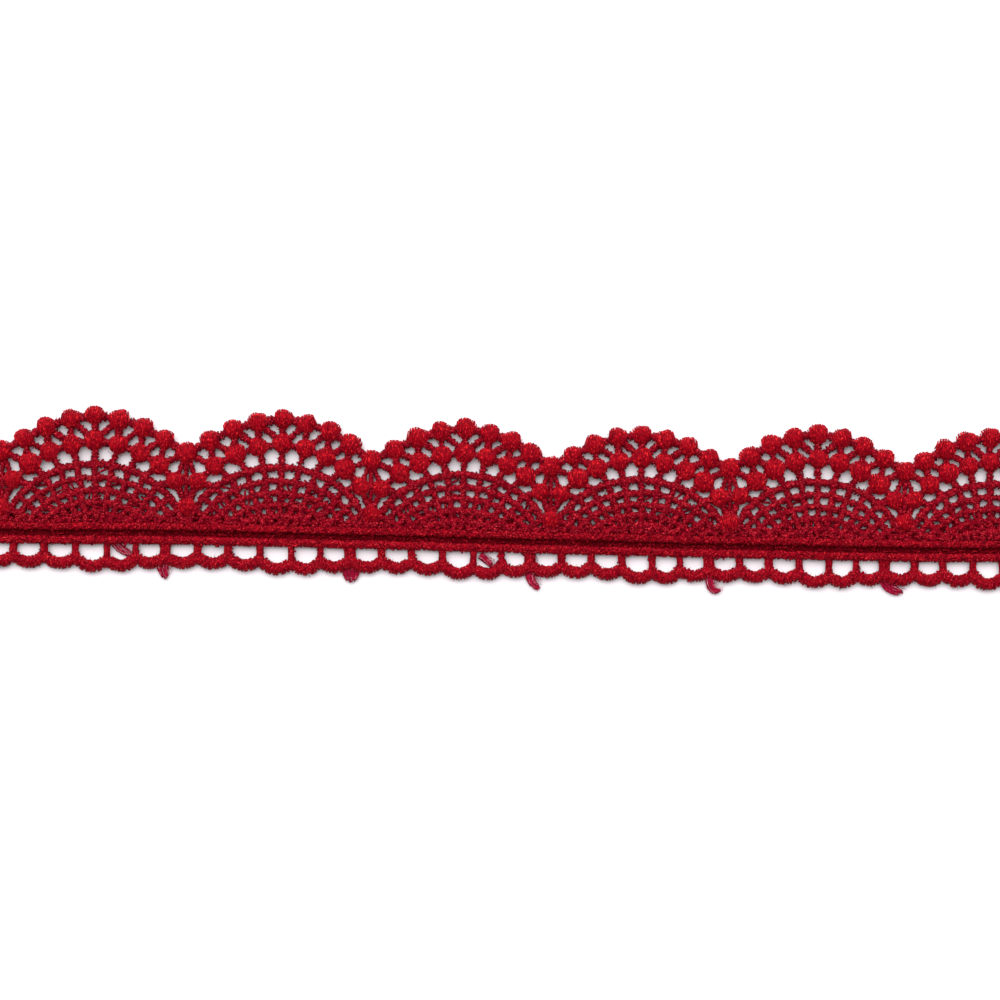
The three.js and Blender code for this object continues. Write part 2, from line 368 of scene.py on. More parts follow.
def spoke_thread(i, k, seed):
    """Spoke k of fan i, from the footing through each arc to the top one."""
    turn = math.radians(k * SPOKE_STEP)
    rings = [(arc["across"], arc["up"]) for arc in reversed(ARCS)]
    root = (rings[0][0] * SPOKE_ROOT["across"], rings[0][1] * SPOKE_ROOT["up"])
    rings.insert(0, root)
    places = [(across * math.sin(turn), ARC_CENTRE + up * math.cos(turn)) for across, up in rings]
    line = []
    for (x0, y0), (x1, y1) in zip(places, places[1:]):
        if y1 <= FOOT:
            continue
        if y0 < FOOT:
            share = (FOOT - y0) / (y1 - y0)
            x0, y0 = x0 + (x1 - x0) * share, FOOT
        line += [(x0, y0)] if not line else []
        line.append((x1, y1))
    if len(line) < 2:
        return None
    return bride([in_repeat(i, x, y) for x, y in line], SPOKE_RADIUS, seed, WEB_SLACK)


def fan_threads(i):
    """The arcs and spokes of fan i, each with a seed of its own."""
    threads = [arc_thread(i, arc, 10 * i + n) for n, arc in enumerate(ARCS)]
    spokes = [spoke_thread(i, k, 40 * i + k) for k in range(-LAST_SPOKE, LAST_SPOKE + 1)]
    return threads + [spoke for spoke in spokes if spoke]


# %% Draw the stems and the brides between the rings of balls
STEM_RADIUS = 0.6
LINK_RADIUS = 0.6
VALLEY_RADIUS = 0.42
RIM_RADIUS = 0.74


def ring_threads(i):
    """The stems, links and zigzag of fan i's two rings."""
    threads = []
    for k in range(-RING_BALLS, RING_BALLS + 1):
        stem = [on_arc(i, ARCS[0], k), inner_ball(i, k)]
        threads.append(bride(stem, STEM_RADIUS, 90 + k))
        if k < RING_BALLS:
            inner_link = [inner_ball(i, k), inner_ball(i, k + 1)]
            outer_link = [outer_ball(i, k), outer_ball(i, k + 1)]
            threads.append(bride(inner_link, LINK_RADIUS, 120 + k))
            threads.append(bride(outer_link, RIM_RADIUS, 150 + k))
    for side in (-1, 1):
        for j in range(RING_BALLS + 1):
            radial = [outer_ball(i, j * side), inner_ball(i, j * side)]
            radius = VALLEY_RADIUS if j == RING_BALLS else LINK_RADIUS
            threads.append(bride(radial, radius, 180 + j * side))
            if j < RING_BALLS:
                slanting = [outer_ball(i, (j + 1) * side), inner_ball(i, j * side)]
                threads.append(bride(slanting, LINK_RADIUS, 210 + j * side))
    return threads


def valley_threads(valley):
    """The stem between a valley's balls, and the threads that hold the pair of inner balls."""
    top = on_trim(valley_x[valley], VALLEYS[valley]["ball"])
    foot = on_trim(valley_x[valley], FOOT)
    threads = [bride([top, low_ball(valley), foot], VALLEY_RADIUS, 240 + valley)]
    last = len(REPEATS)
    right = inner_ball(valley, -RING_BALLS) if valley < last else across_valley(last, 1)
    left = inner_ball(valley - 1, RING_BALLS) if valley > 0 else across_valley(0, -1)
    for n, ball in enumerate((left, right)):
        threads.append(bride([ball, low_ball(valley)], LINK_RADIUS, 270 + 2 * valley + n))
        if valley in (0, last):
            threads.append(bride([ball, top], VALLEY_RADIUS, 320 + n))
    threads.append(bride([left, right], LINK_RADIUS, 300 + valley))
    return threads


# %% Make the web of brides
fan_web = []
ring_web = []
for i in range(len(REPEATS)):
    fan_web += fan_threads(i)
    ring_web += ring_threads(i)
for valley in range(len(REPEATS) + 1):
    ring_web += valley_threads(valley)
lace_web = sweep("lace_web", "two_ply", fan_web + ring_web)
print("The web has", len(fan_web + ring_web), "brides and", len(lace_web.data.polygons), "faces")


# %% Bind the brides with zigzag stitches
BINDING_SPACING = 0.40


def binding(thread, seed):
    """Short stitches that zigzag over a bride, from one side of it to the other."""
    draw = random.Random(seed)
    line = respaced(thread["points"], BINDING_SPACING)
    usual = sum(thread["radii"]) / len(thread["radii"])
    stitches = []
    for n, (before, place, after) in enumerate(zip(line, line[1:], line[2:])):
        along = (after - before).normalized()
        across = Vector((-along.y, along.x, 0))
        lean = draw.uniform(0.2, 0.9) * (1 if n % 2 else -1)
        wide = usual * draw.uniform(0.8, 1.2)
        high = usual * draw.uniform(0.8, 1.3)
        middle = place + along * draw.uniform(-0.12, 0.12) + across * draw.uniform(-0.1, 0.1)
        points = []
        for v in (-1.0, -0.45, 0.45, 1.0):
            up = Vector((0, 0, high * math.sqrt(max(0.0, 1 - v * v)) - 0.08))
            points.append(middle + across * v * wide + along * v * lean * wide + up)
        size = draw.uniform(0.11, 0.21)
        stitches.append({"points": points, "radii": [size] * 4, "tilts": [0.0] * 4})
    return stitches


def bound(name, threads, seed):
    """One piece of the binding stitches of many brides."""
    stitches = []
    for n, thread in enumerate(threads):
        stitches += binding(thread, seed + n)
    print(name, "has", len(stitches), "stitches")
    return sweep(name, "binding", stitches)


fan_bindings = bound("fan_bindings", fan_web, 2000)
ring_bindings = bound("ring_bindings", ring_web, 4000)


# %% Knot the crossings of the arcs and spokes
KNOTS_AT_CROSSING = 4
KNOT_RADIUS = 0.19


def loose_stitch(centre, height, turn, length, radius, draw):
    """One short stitch over the web, bowed a little, at a place and a turn."""
    along = Vector((math.cos(turn), math.sin(turn), 0))
    bow = Vector((-along.y, along.x, 0)) * draw.uniform(-0.12, 0.12)
    points = []
    for v in (-1.0, -0.4, 0.4, 1.0):
        place = Vector((centre.x, centre.y, height - 0.3 * v * v)) + along * v * length / 2
        points.append(place + bow * (1 - v * v))
    return {"points": points, "radii": [radius] * 4, "tilts": [0.0] * 4}


def crossing_knots(i, draw):
    """A few stitches every way over each crossing of fan i."""
    stitches = []
    for arc in ARCS:
        for k in range(-LAST_SPOKE, LAST_SPOKE + 1):
            if arc_xy(arc, k)[1] < BAND_TOP:
                continue
            centre = on_arc(i, arc, k)
            for _ in range(KNOTS_AT_CROSSING):
                spot = centre + Vector((draw.uniform(-0.35, 0.35), draw.uniform(-0.35, 0.35)))
                turn = draw.uniform(0, math.pi)
                height = WEB_HEIGHT + draw.uniform(0.2, 0.6)
                length = draw.uniform(1.0, 1.7)
                stitches.append(loose_stitch(spot, height, turn, length, KNOT_RADIUS, draw))
    return stitches


# %% Fill the small cells and the foot of each fan
CELL_STITCHES = [0.3, 0.4, 0.7, 1.5]
CELL_STITCH_RADIUS = 0.22
FOOT_STITCHES = 300


def cell_filling(i, draw):
    """Stray stitches across the cells between two arcs, more of them nearer the footing."""
    stitches = []
    for n, usual in enumerate(CELL_STITCHES):
        for k in range(-LAST_SPOKE, LAST_SPOKE):
            count = int(usual + draw.random())
            share = draw.uniform(0.3, 0.7)
            x0, y0 = arc_xy(ARCS[n], k + draw.uniform(0.25, 0.75))
            x1, y1 = arc_xy(ARCS[n + 1], k + draw.uniform(0.25, 0.75))
            centre = in_repeat(i, x0 + (x1 - x0) * share, y0 + (y1 - y0) * share)
            for _ in range(count):
                spot = centre + Vector((draw.gauss(0, 0.25), draw.gauss(0, 0.25)))
                turn = draw.uniform(0, math.pi)
                height = WEB_HEIGHT + draw.uniform(-0.4, 0.3)
                length = draw.uniform(1.4, 2.4)
                stitch = loose_stitch(spot, height, turn, length, CELL_STITCH_RADIUS, draw)
                stitches.append(stitch)
    return stitches


def foot_filling(i, draw):
    """Dense stitches where the spokes run together over the footing."""
    stitches = []
    for _ in range(FOOT_STITCHES):
        x = draw.uniform(-PITCH / 2, PITCH / 2)
        rise = 1.5 * (1 - (x / 13) ** 2) if abs(x) < 9 else 1.0
        centre = in_repeat(i, x, BAND_TOP - 0.4 + rise * draw.random() ** 1.3)
        turn = math.pi / 2 - 0.06 * x + draw.gauss(0, 0.8)
        height = WEB_HEIGHT + draw.uniform(-0.7, 0.4)
        length = draw.uniform(1.1, 1.9)
        size = draw.uniform(0.17, 0.27)
        stitches.append(loose_stitch(centre, height, turn, length, size, draw))
    return stitches


draw = random.Random(33)
knots = []
for i in range(len(REPEATS)):
    knots += crossing_knots(i, draw) + cell_filling(i, draw) + foot_filling(i, draw)
web_knots = sweep("web_knots", "binding", knots)
print("Knots and filling:", len(knots), "stitches")

# %% [markdown]
# ## The satin balls
#
# Each ball is padding under a layer of satin stitch: short parallel stitches from rim to rim over a
# dome. A smooth sphere would lose the stitches, so one padded dome is modelled, with its stitches
# laid over it as flat threads whose ends tuck under its girth. Five such balls, each with its own
# unevenness, are then copied to every place, a little turned and resized.

# %% Model the padding and the stitches of a ball
BALL = {"radius": 1.87, "middle": 1.22, "half_height": 1.2}
PADDING_SHARE = 0.88
SQUARENESS = 2.15
STITCHES = 18
STITCH_RADIUS = 0.13
WRAP = 116
BALL_KINDS = 5


def ball_padding(name):
    """The dome and underside of a ball, squeezed from a sphere."""
    bpy.ops.object.select_all(action="DESELECT")
    bpy.ops.mesh.primitive_uv_sphere_add(
        segments=18, ring_count=10, radius=1.0 * MM, location=(0, 0, 0)
    )
    padding = bpy.context.object
    padding.name = name
    bpy.ops.object.mode_set(mode="EDIT")
    bpy.ops.mesh.select_all(action="SELECT")
    radius = BALL["radius"] * PADDING_SHARE
    bpy.ops.transform.resize(value=(radius, radius, BALL["half_height"] * PADDING_SHARE))
    bpy.ops.transform.translate(value=(0, 0, BALL["middle"] * MM))
    bpy.ops.object.mode_set(mode="OBJECT")
    bpy.ops.object.shade_smooth()
    return padding


def ball_stitches(seed):
    """Satin stitches side by side over the dome, fanning out a little from the lower rim."""
    draw = random.Random(seed)
    fan = draw.uniform(0.05, 0.22)
    threads = []
    for n in range(STITCHES):
        u = (2 * (n + 0.5) / STITCHES - 1) * 0.96 + draw.uniform(-0.03, 0.03)
        half = (1 - min(0.99, abs(u)) ** SQUARENESS) ** (1 / SQUARENESS)
        over = draw.uniform(0.94, 1.03)
        lift = draw.uniform(0.95, 1.04)
        slant = draw.uniform(-0.07, 0.07)
        points = []
        for step in range(7):
            turn = math.radians(WRAP * (step / 3 - 1))
            v = math.sin(turn) * half * over
            reach = (abs(u) ** SQUARENESS + abs(v) ** SQUARENESS) ** (1 / SQUARENESS)
            up = math.sqrt(max(0.0, 1 - reach * reach)) * lift
            if math.cos(turn) < 0:
                up = math.cos(turn) * half
            x = (u * (1 + fan * v) + slant * v) * BALL["radius"]
            y = v * BALL["radius"]
            z = BALL["middle"] + BALL["half_height"] * up
            points.append(Vector((x, y, z)))
        size = STITCH_RADIUS * draw.uniform(0.8, 1.25)
        threads.append({"points": points, "radii": [size] * 7, "tilts": [0.0] * 7})
    return threads


def ball_kind(n):
    """One padded ball with its stitches, as a single object."""
    padding = ball_padding(f"ball_padding_{n}")
    stitches = sweep(f"ball_stitches_{n}", "satin", ball_stitches(500 + n))
    only(stitches)
    bpy.ops.object.shade_smooth()
    padding.select_set(True)
    bpy.context.view_layer.objects.active = padding
    bpy.ops.object.join()
    return padding


kinds = [ball_kind(n) for n in range(BALL_KINDS)]
print("A ball has", len(kinds[0].data.polygons), "faces")


# %% Copy the balls to both rings and the valleys
def place_balls(name, centres, seed):
    """Copies of the ball kinds at the places, each turned and resized a little, joined as one."""
    draw = random.Random(seed)
    copies = []
    for centre, scale in centres:
        kind = kinds[draw.randrange(BALL_KINDS)]
        copy = bpy.data.objects.new(name, kind.data.copy())
        bpy.context.scene.collection.objects.link(copy)
        turn = draw.gauss(0.0, 0.3)
        size = scale * draw.uniform(0.94, 1.07)
        wide, deep = (size * draw.uniform(0.97, 1.03) for _ in range(2))
        squash = Matrix.Diagonal((wide, deep, 1, 1))
        jitter = Vector((draw.uniform(-0.12, 0.12), draw.uniform(-0.12, 0.12), 0))
        at = (Vector((centre.x, centre.y, 0)) + jitter) * MM
        copy.data.transform(Matrix.Translation(at) @ Matrix.Rotation(turn, 4, "Z") @ squash)
        copies.append(copy)
    bpy.ops.object.select_all(action="DESELECT")
    for copy in copies:
        copy.select_set(True)
    bpy.context.view_layer.objects.active = copies[0]
    bpy.ops.object.join()
    copies[0].name = name
    return copies[0]


VALLEY_SCALE = 0.9

last = len(REPEATS)
outer_centres = [(outer_ball(0, -RING_BALLS), 1.0)]
inner_centres = [(across_valley(0, -1), VALLEY_SCALE), (across_valley(last, 1), VALLEY_SCALE)]
inner_centres += [(low_ball(valley), VALLEY_SCALE) for valley in range(last + 1)]
for i in range(last):
    outer_centres += [(outer_ball(i, j), 1.0) for j in range(1 - RING_BALLS, RING_BALLS + 1)]
    for k in range(-RING_BALLS, RING_BALLS + 1):
        inner_centres.append((inner_ball(i, k), VALLEY_SCALE if abs(k) == RING_BALLS else 1.0))
outer_balls = place_balls("outer_balls", outer_centres, 61)
inner_balls = place_balls("inner_balls", inner_centres, 62)
for kind in kinds:
    bpy.data.objects.remove(kind)
print(len(outer_centres), "outer and", len(inner_centres), "inner balls")

# %% [markdown]
# ## The footing
#
# The footing is the straight edge by which the trim is sewn on. It is two cords with a deep groove
# between them, each a bundle of running threads bound by slanting stitches. The bundle is one
# thick swept cord, and the binding stitches are laid over it one by one, unevenly. Short strays
# over the ridges and in the groove break up the rows.


# %% Bind a cord with slanting stitches
def bound_stitches(line, half_width, height, crown, spacing, seed, slant=0.35, radius=0.17):
    """Stitches across a line of 3-D places, arched over it and slanting along it."""
    draw = random.Random(seed)
    line = respaced(line, spacing)
    threads = []
    for before, place, after in zip(line, line[1:], line[2:]):
        along = (after - before).normalized()
        across = Vector((-along.y, along.x, 0))
        lean = slant * draw.uniform(0.3, 1.7)
        wide = half_width * draw.uniform(0.93, 1.07)
        middle = place + along * draw.uniform(-0.5, 0.5) * spacing
        lift = draw.uniform(0.88, 1.1)
        points = []
        for turn in (-WRAP, -0.68 * WRAP, -0.3 * WRAP, 0.3 * WRAP, 0.68 * WRAP, WRAP):
            v = math.sin(math.radians(turn))
            arch = math.cos(math.radians(turn))
            up = Vector((0, 0, height + crown * arch * lift - middle.z))
            points.append(middle + across * v * wide + along * v * lean * wide + up)
        size = radius * draw.uniform(0.75, 1.25)
        threads.append({"points": points, "radii": [size] * 6, "tilts": [0.0] * 6})
    return threads


def cord_line(y, spacing=1.0):
    """A line along the whole trim, at a distance from the groove."""
    count = round((right_end - left_end) / spacing)
    places = []
    for n in range(count + 1):
        x = left_end + (right_end - left_end) * n / count
        place = on_trim(x, y)
        places.append(Vector((place.x, place.y, 0)) + wander(place, 0.09, 0.35, 3.0))
    return places


# %% Make the footing's two cords
FOOTING_CORDS = [
    {"y": 1.12, "half_width": 0.70, "crown": 0.85},
    {"y": -1.45, "half_width": 0.70, "crown": 0.85},
]
CORD_MIDDLE = 0.95
CORD_SPACING = 0.48
CORD_SLANTS = (0.9, -0.8)
BUNDLE_RADIUS = 0.62
GROOVE_RADIUS = 0.28
GROOVE_STRANDS = (0.45, 0.15, -0.15, -0.45, -0.75)
STRAYS_PER_MM = 3.0
GROOVE_STRAYS_PER_MM = 1.6


def plain(points, radius):
    """An untwisted thread, equally thick all along."""
    return {"points": points, "radii": [radius] * len(points), "tilts": [0.0] * len(points)}


def ridge_strays(line, half_width, top, draw):
    """Short stitches lying every way on a cord's ridge, most of them along it."""
    stitches = []
    for _ in range(int((line[-1] - line[0]).length * STRAYS_PER_MM)):
        n = draw.randrange(len(line) - 1)
        v = draw.uniform(-0.8, 0.8)
        place = line[n].lerp(line[n + 1], draw.random())
        spot = Vector((place.x, place.y + v * half_width))
        height = top - 0.45 * v * v + draw.uniform(-0.05, 0.12)
        length = draw.uniform(0.8, 1.6)
        turn = draw.gauss(0, 0.6)
        size = draw.uniform(0.12, 0.2)
        stitches.append(loose_stitch(spot, height, turn, length, size, draw))
    return stitches


def groove_stray(draw):
    """One short stitch in the groove, along it or across it."""
    x = draw.uniform(left_end + 0.5, right_end - 0.5)
    spot = on_trim(x, -0.15 + draw.uniform(-0.35, 0.35))
    turn = draw.choice((0.0, math.pi / 2)) + draw.gauss(0, 0.5)
    height = draw.uniform(0.6, 0.95)
    length = draw.uniform(0.9, 1.5)
    return loose_stitch(spot, height, turn, length, 0.15, draw)


footing_threads = []
bundle_threads = []
strays = []
draw = random.Random(71)
for n, cord in enumerate(FOOTING_CORDS):
    line = cord_line(cord["y"])
    for layer, slant in enumerate(CORD_SLANTS):
        seed = 700 + 2 * n + layer
        footing_threads += bound_stitches(
            line, cord["half_width"], CORD_MIDDLE, cord["crown"], CORD_SPACING, seed, slant=slant
        )
    bundle = [p + Vector((0, 0, CORD_MIDDLE)) for p in line]
    bundle_threads.append(plain(bundle, BUNDLE_RADIUS))
    strays += ridge_strays(line, cord["half_width"], CORD_MIDDLE + cord["crown"], draw)
# The strands on the groove's floor are given a darker copy of the thread further down: painted
# shade.
groove_threads = []
for y in GROOVE_STRANDS:
    groove = [p + Vector((0, 0, GROOVE_RADIUS)) for p in cord_line(y)]
    groove_threads.append(plain(groove, GROOVE_RADIUS))
groove_strands = sweep("groove_strands", "cord", groove_threads)
for _ in range(round((right_end - left_end) * GROOVE_STRAYS_PER_MM)):
    strays.append(groove_stray(draw))
footing_stitches = sweep("footing_stitches", "satin", footing_threads)
footing_strays = sweep("footing_strays", "binding", strays)
footing_bundles = sweep("footing_bundles", "cord", bundle_threads)
print("The footing has", len(footing_threads) + len(strays), "stitches")

# %% [markdown]
# ## The ladder and its scalloped edge
#
# Under the footing hangs a ladder: short bars, and a cord that dips under every window. A
# bar is a few parallel stitches, and the edge is bound as the footing is. Each window of a repeat
# has its own size, the same in every repeat, because that is how the pattern was punched.

# %% Name the ladder's sizes
LADDER = [
    {"shift": -0.75, "width": 4.0, "top": -2.15, "bottom": -4.3, "edge": -6.5, "bar": -5.8},
    {"shift": -0.8, "width": 4.1, "top": -2.15, "bottom": -4.3, "edge": -6.5, "bar": -5.7},
    {"shift": -0.7, "width": 4.3, "top": -2.2, "bottom": -4.6, "edge": -6.65, "bar": -6.0},
    {"shift": -0.55, "width": 4.4, "top": -2.5, "bottom": -4.8, "edge": -7.2, "bar": -6.6},
    {"shift": -0.65, "width": 4.0, "top": -2.5, "bottom": -4.8, "edge": -7.1, "bar": -6.0},
    {"shift": -1.2, "width": 3.7, "top": -2.2, "bottom": -4.4, "edge": -6.6, "bar": -6.0},
]
window_count = len(REPEATS) * len(LADDER) + 1


def window_at(n):
    """Window n, counted from the first valley: its row, its middle and half its width."""
    i, place = divmod(n, len(LADDER))
    row = LADDER[place]
    pitch = REPEATS[min(i, len(REPEATS) - 1)]["pitch"]
    x = valley_x[i] + place * pitch / len(LADDER) + row["shift"]
    return {**row, "x": x, "half": row["width"] / 2 * pitch / PITCH}


# %% Make the scalloped edge
EDGE_HALF = 1.06
EDGE_MIDDLE = 0.85
EDGE_CROWN = 0.85
EDGE_SPACING = 0.46
EDGE_BUNDLE_RADIUS = 0.9
EDGE_END = -4.9
EDGE_SINK = 0.2
SHOULDER_SHARE = 0.3
SHOULDER_RISE = 0.22
BAR_RISE = 0.3


def edge_line():
    """The middle of the scalloped cord, dipping under each window and rising at each bar."""
    places = [on_trim(left_end, EDGE_END)]
    for n in range(window_count):
        window = window_at(n)
        dip = window["edge"] + EDGE_HALF - EDGE_SINK
        shoulder = SHOULDER_SHARE * window["width"]
        places.append(on_trim(window["x"] - shoulder, dip + SHOULDER_RISE))
        places.append(on_trim(window["x"], dip))
        places.append(on_trim(window["x"] + shoulder, dip + SHOULDER_RISE))
        if n < window_count - 1:
            middle = (window["x"] + window_at(n + 1)["x"]) / 2
            places.append(on_trim(middle, window["bar"] + EDGE_HALF + BAR_RISE))
    places.append(on_trim(right_end, EDGE_END))
    return [Vector((p.x, p.y, 0)) for p in places]


def rounded(points, passes=2):
    """The same line with its corners cut, as a thread would take them."""
    for _ in range(passes):
        cut = [points[0]]
        for a, b in zip(points, points[1:]):
            cut += [a.lerp(b, 0.25), a.lerp(b, 0.75)]
        points = cut + [points[-1]]
    return points


edge = rounded(edge_line(), passes=3)
edge_threads = []
for seed, slant in ((811, 0.4), (812, -0.25)):
    edge_threads += bound_stitches(
        edge, EDGE_HALF, EDGE_MIDDLE, EDGE_CROWN, EDGE_SPACING, seed, slant=slant
    )
edge_stitches = sweep("edge_stitches", "satin", edge_threads)
edge_middle = [p + Vector((0, 0, EDGE_MIDDLE)) for p in respaced(edge, 0.7)]
edge_bundle = sweep("edge_bundle", "cord", [plain(edge_middle, EDGE_BUNDLE_RADIUS)])
print("The edge is", round(sum((b - a).length for a, b in zip(edge, edge[1:]))), "mm long")


# %% Make the bars
END_BAR = -5.8
BAR_TOP = -1.8
BAR_SPACING = 0.28
BAR_STITCH = 0.22
BAR_WRAPS = 9
TOP_FLARE = 0.35
FOOT_FLARE = 1.1


def bar_places():
    """Each bar's left side, right side and foot, with a bar at either cut end."""
    windows = [window_at(n) for n in range(window_count)]
    places = [(left_end, windows[0]["x"] - windows[0]["half"], END_BAR)]
    for left, right in zip(windows, windows[1:]):
        places.append((left["x"] + left["half"], right["x"] - right["half"], left["bar"]))
    places.append((windows[-1]["x"] + windows[-1]["half"], right_end, END_BAR))
    return places


def bar_stitches(low_x, high_x, foot, draw):
    """The stitches of one bar, narrowest in the middle of its height."""
    count = max(4, round((high_x - low_x) / BAR_SPACING))
    threads = []
    for k in range(count):
        across = (k + 0.5) / count * 2 - 1
        z = 0.7 + 0.62 * math.sqrt(1 - across * across) + draw.uniform(-0.06, 0.06)
        slip = draw.uniform(-0.12, 0.12)
        points = []
        for step in range(8):
            v = 2 * step / 7 - 1
            flare = FOOT_FLARE * v**3 if v > 0 else TOP_FLARE * v**4
            x = (low_x + high_x) / 2 + across * (high_x - low_x) / 2 * (0.9 + flare) + slip * v
            y = BAR_TOP + (foot + 1.0 - BAR_TOP) * step / 7
            place = Vector((*on_trim(x, y), z))
            points.append(place + wander(place, 0.12, 1.1, k))
        size = BAR_STITCH * draw.uniform(0.75, 1.25)
        threads.append({"points": points, "radii": [size] * 8, "tilts": [0.0] * 8})
    return threads


def bar_bindings(low_x, high_x, foot, draw):
    """A few loose stitches round each bar."""
    stitches = []
    for _ in range(BAR_WRAPS):
        y = draw.uniform(BAR_TOP - 0.5, foot + 1.6)
        spot = on_trim((low_x + high_x) / 2 + draw.uniform(-0.25, 0.25), y)
        turn = draw.gauss(0, 0.5) + draw.choice((0.0, math.pi / 2))
        stitches.append(loose_stitch(spot, 1.35, turn, draw.uniform(0.9, 1.5), 0.16, draw))
    return stitches


draw = random.Random(905)
bar_threads = []
bar_binds = []
for low_x, high_x, foot in bar_places():
    bar_threads += bar_stitches(low_x, high_x, foot, draw)
    bar_binds += bar_bindings(low_x, high_x, foot, draw)
ladder_bars = sweep("ladder_bars", "satin", bar_threads)
bar_wraps = sweep("bar_wraps", "binding", bar_binds)
print("The bars have", len(bar_threads) + len(bar_binds), "stitches")

# %% [markdown]
# ## Thread tails and stray fibres
#
# Where the machine jumped from one row to the next it left a tail of thread, cut short under
# every sixth bar. Each tail is a bundle of thin strands with their roots sunk in the edge cord,
# spreading or bending as they come out. Some fibres have worn pale, and short stray fibres
# stand out from the whole trim, which keeps its outline soft.

# %% Name the tails, and the yarns that cross behind three windows
TAILS = [
    {"path": [(29.5, -5.4), (29.6, -7.0), (30.1, -8.5)], "width": 2.7, "tip": 0.9, "z": 0.7},
    {"path": [(64.2, -5.4), (64.2, -6.9), (64.3, -8.4)], "width": 3.3, "tip": 2.3, "z": 0.7},
    {
        "path": [(97.0, -5.3), (97.3, -6.8), (97.9, -8.0), (98.9, -8.7)],
        "width": 1.4,
        "tip": 1.1,
        "z": 0.7,
    },
    {
        "path": [(129.9, -4.9), (130.2, -6.5), (130.5, -7.7), (131.2, -8.4), (132.2, -8.1)],
        "width": 1.3,
        "tip": 1.1,
        "z": 0.8,
    },
    {
        "path": [(162.3, -5.2), (163.0, -6.7), (164.1, -7.5), (165.8, -7.9)],
        "width": 2.0,
        "tip": 1.2,
        "z": 0.7,
    },
    {"path": [(193.8, -5.2), (194.1, -6.8), (194.8, -8.4)], "width": 1.7, "tip": 0.9, "z": 0.7},
    {
        "path": [(20.4, -1.7), (21.7, -3.2), (23.2, -3.9), (24.0, -4.8)],
        "width": 1.3,
        "tip": 1.0,
        "z": 0.55,
    },
    {"path": [(88.0, -2.8), (89.4, -4.0), (90.2, -4.9)], "width": 0.8, "tip": 0.6, "z": 0.55},
    {"path": [(95.7, -1.5), (97.2, -3.1), (98.1, -4.6)], "width": 0.8, "tip": 0.6, "z": 0.55},
]
TAIL_CORE = {"count": 16, "radius": 0.28, "drift": 0.15}
TAIL_FRINGE = {"count": 20, "radius": 0.09, "drift": 0.35}
PALE_BESIDE = {"count": 9, "radius": 0.05, "drift": 0.5}
PALE_ON_TOP = {"count": 3, "radius": 0.05, "drift": 0.3}
PALE_LIFT = 0.25
STRAND_SPACING = 0.35


# %% Make the tails
def tail_strands(tail, draw, count, radius, drift):
    """Strands side by side along a tail's path, from its width at the root to its tip's."""
    path = rounded([Vector((*on_trim(x, y), tail["z"])) for x, y in tail["path"]])
    path = respaced(path, STRAND_SPACING)
    strands = []
    for n in range(count):
        side = (n + 0.5) / count * 2 - 1 + draw.uniform(-0.1, 0.1)
        stop = max(4, round(len(path) * (1 - 0.25 * side * side)) - draw.choice((0, 0, 1)))
        up = 0.35 * tail["z"] * math.sqrt(max(0.0, 1 - side * side)) * draw.uniform(-1, 1)
        points = []
        for k in range(stop):
            share = k / (len(path) - 1)
            before, after = path[max(0, k - 1)], path[min(len(path) - 1, k + 1)]
            along = (after - before).normalized()
            across = Vector((along.y, -along.x, 0))
            half = (tail["width"] * (1 - share) + tail["tip"] * share) / 2
            place = path[k] + across * side * half + Vector((0, 0, up * (1 - 0.5 * share)))
            points.append(place + wander(place, drift, 1.5, n + 0.3))
        size = radius * draw.uniform(0.7, 1.3)
        radii = [size * (1 - 0.4 * k / stop) for k in range(stop)]
        strands.append({"points": points, "radii": radii, "tilts": [0.0] * stop})
    return strands


draw = random.Random(77)
tails = []
pale = []
for tail in TAILS:
    tails += tail_strands(tail, draw, **TAIL_CORE) + tail_strands(tail, draw, **TAIL_FRINGE)
    beside = [(x + 0.75, y + 0.25) for x, y in tail["path"]]
    end_x, end_y = beside.pop()
    pale += tail_strands({**tail, "path": beside + [(end_x, end_y + 0.5)]}, draw, **PALE_BESIDE)
    pale += tail_strands({**tail, "z": tail["z"] + PALE_LIFT}, draw, **PALE_ON_TOP)
thread_tails = sweep("thread_tails", "binding", tails)
pale_fibres = sweep("pale_fibres", "fibre", pale)
print(len(tails), "strands and", len(pale), "pale fibres in the tails")


# %% Let short fibres stand out
FIBRES_ON_BALL = 5
FIBRES_ON_BRIDE = 3


def stray_fibre(place, turn, length, draw):
    """A short fibre that curls away from a place."""
    along = Vector((math.cos(turn), math.sin(turn), draw.uniform(-0.3, 0.5)))
    curl = Vector((-along.y, along.x, 0)) * draw.uniform(-0.5, 0.5)
    points = [place + along * length * v + curl * length * v * v for v in (0.0, 0.35, 0.7, 1.0)]
    size = draw.uniform(0.03, 0.05)
    return {"points": points, "radii": [size, size, size * 0.9, size * 0.6], "tilts": [0.0] * 4}


draw = random.Random(88)
fibres = []
for centre, scale in outer_centres + inner_centres:
    for _ in range(FIBRES_ON_BALL):
        turn = draw.uniform(0, math.tau)
        start = Vector((math.cos(turn), math.sin(turn), 0)) * BALL["radius"] * scale * 0.85
        place = Vector((centre.x, centre.y, draw.uniform(0.9, 1.7))) + start
        fibres.append(stray_fibre(place, turn + draw.gauss(0, 0.8), draw.uniform(0.3, 0.7), draw))
for thread in fan_web + ring_web:
    for _ in range(FIBRES_ON_BRIDE):
        place = draw.choice(thread["points"]) + Vector((0, 0, 0.25))
        fibres.append(stray_fibre(place, draw.uniform(0, math.tau), draw.uniform(0.8, 1.5), draw))
for place in respaced(edge, 0.6):
    side = draw.choice((-1, 1))
    start = place + Vector((0, side * EDGE_HALF * 0.85, EDGE_MIDDLE))
    turn = side * math.pi / 2 + draw.gauss(0, 0.8)
    fibres.append(stray_fibre(start, turn, draw.uniform(0.3, 0.8), draw))
stray_fibres = sweep("stray_fibres", "fibre", fibres)
print(len(fibres), "stray fibres")
